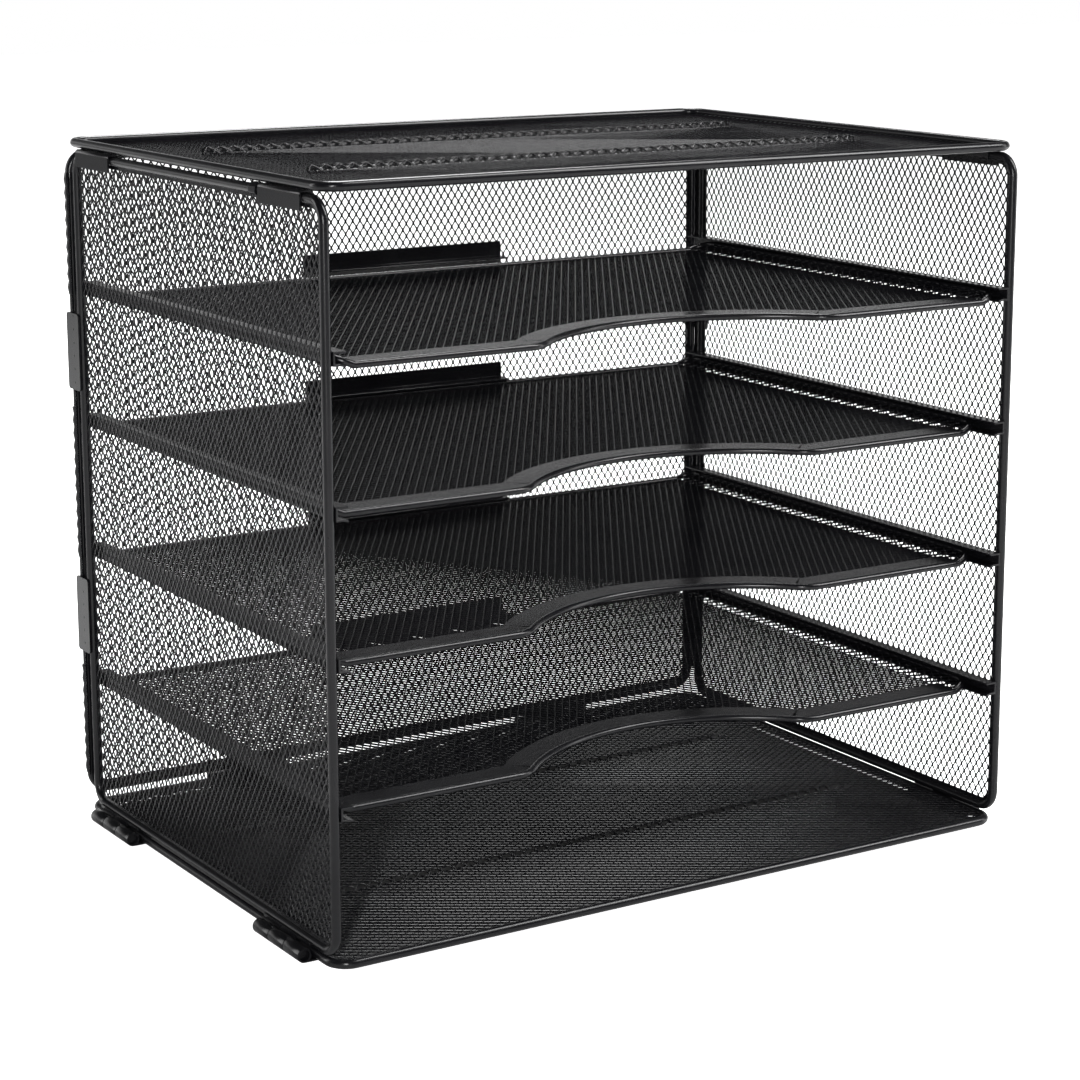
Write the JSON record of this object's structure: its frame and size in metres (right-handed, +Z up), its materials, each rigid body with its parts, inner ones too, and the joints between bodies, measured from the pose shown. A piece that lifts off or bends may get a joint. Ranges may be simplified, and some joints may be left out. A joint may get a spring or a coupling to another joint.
{
  "type": "paper rack",
  "caption": "Free-standing wire and expanded-mesh paper rack with sliding shelves, sides and back hinged on the base, and a lift-off top.",
  "frame": {"origin": "middle of the footprint, on the plane the hinge leaves stand on", "axes": "+X to the user's right, +Y to the back, +Z up; the open front faces -Y"},
  "size_m": [0.3322, 0.237, 0.2919],
  "materials": {
    "wire": "satin black powder coat",
    "mesh": "satin black powder coat",
    "sheet": "satin black powder coat",
    "hinge": "satin black powder coat"
  },
  "bodies": {
    "base": {"back_base_hinge_leaves": "hinge", "bottom_frame": "wire", "bottom_mesh": "mesh", "hinge_pins": "hinge", "left_base_hinge_leaves": "hinge", "right_base_hinge_leaves": "hinge"},
    "left_side": {"left_hinge_leaves": "hinge", "left_rail_1": "sheet", "left_rail_2": "sheet", "left_rail_3": "sheet", "left_rail_4": "sheet", "left_rear_clips": "sheet", "left_side_frame": "wire", "left_side_mesh": "mesh", "left_top_saddles": "sheet"},
    "right_side": {"right_hinge_leaves": "hinge", "right_rail_1": "sheet", "right_rail_2": "sheet", "right_rail_3": "sheet", "right_rail_4": "sheet", "right_rear_clips": "sheet", "right_side_frame": "wire", "right_side_mesh": "mesh", "right_top_saddles": "sheet"},
    "back": {"back_bracket_1": "sheet", "back_bracket_2": "sheet", "back_bracket_3": "sheet", "back_bracket_4": "sheet", "back_frame": "wire", "back_hinge_leaves": "hinge", "back_mesh": "mesh"},
    "top": {"top_frame": "wire", "top_mesh": "mesh"},
    "shelf_1": {"shelf_1_frame": "wire", "shelf_1_front_strip": "sheet", "shelf_1_mesh": "mesh"},
    "shelf_2": {"shelf_2_frame": "wire", "shelf_2_front_strip": "sheet", "shelf_2_mesh": "mesh"},
    "shelf_3": {"shelf_3_frame": "wire", "shelf_3_front_strip": "sheet", "shelf_3_mesh": "mesh"},
    "shelf_4": {"shelf_4_frame": "wire", "shelf_4_front_strip": "sheet", "shelf_4_mesh": "mesh"}
  },
  "joints": [
    {"name": "left_side_hinge", "type": "hinge", "parent": "base", "child": "left_side", "pos_m": [-0.16315, -0.0031, 0.00295], "axis": [0, -1, 0], "range_deg": [0, 90]},
    {"name": "right_side_hinge", "type": "hinge", "parent": "base", "child": "right_side", "pos_m": [0.16315, -0.0031, 0.00295], "axis": [0, 1, 0], "range_deg": [0, 90]},
    {"name": "back_hinge", "type": "hinge", "parent": "base", "child": "back", "pos_m": [0, 0.11555, 0.00295], "axis": [-1, 0, 0], "range_deg": [0, 90]},
    {"name": "top_lift", "type": "slide", "parent": "base", "child": "top", "axis": [0, 0, 1], "range_m": [0, 0.06]},
    {"name": "shelf_1_slide", "type": "slide", "parent": "base", "child": "shelf_1", "axis": [0, -1, 0], "range_m": [-0.01, 0.18]},
    {"name": "shelf_2_slide", "type": "slide", "parent": "base", "child": "shelf_2", "axis": [0, -1, 0], "range_m": [0, 0.18]},
    {"name": "shelf_3_slide", "type": "slide", "parent": "base", "child": "shelf_3", "axis": [0, -1, 0], "range_m": [0, 0.18]},
    {"name": "shelf_4_slide", "type": "slide", "parent": "base", "child": "shelf_4", "axis": [0, -1, 0], "range_m": [0, 0.18]}
  ]
}
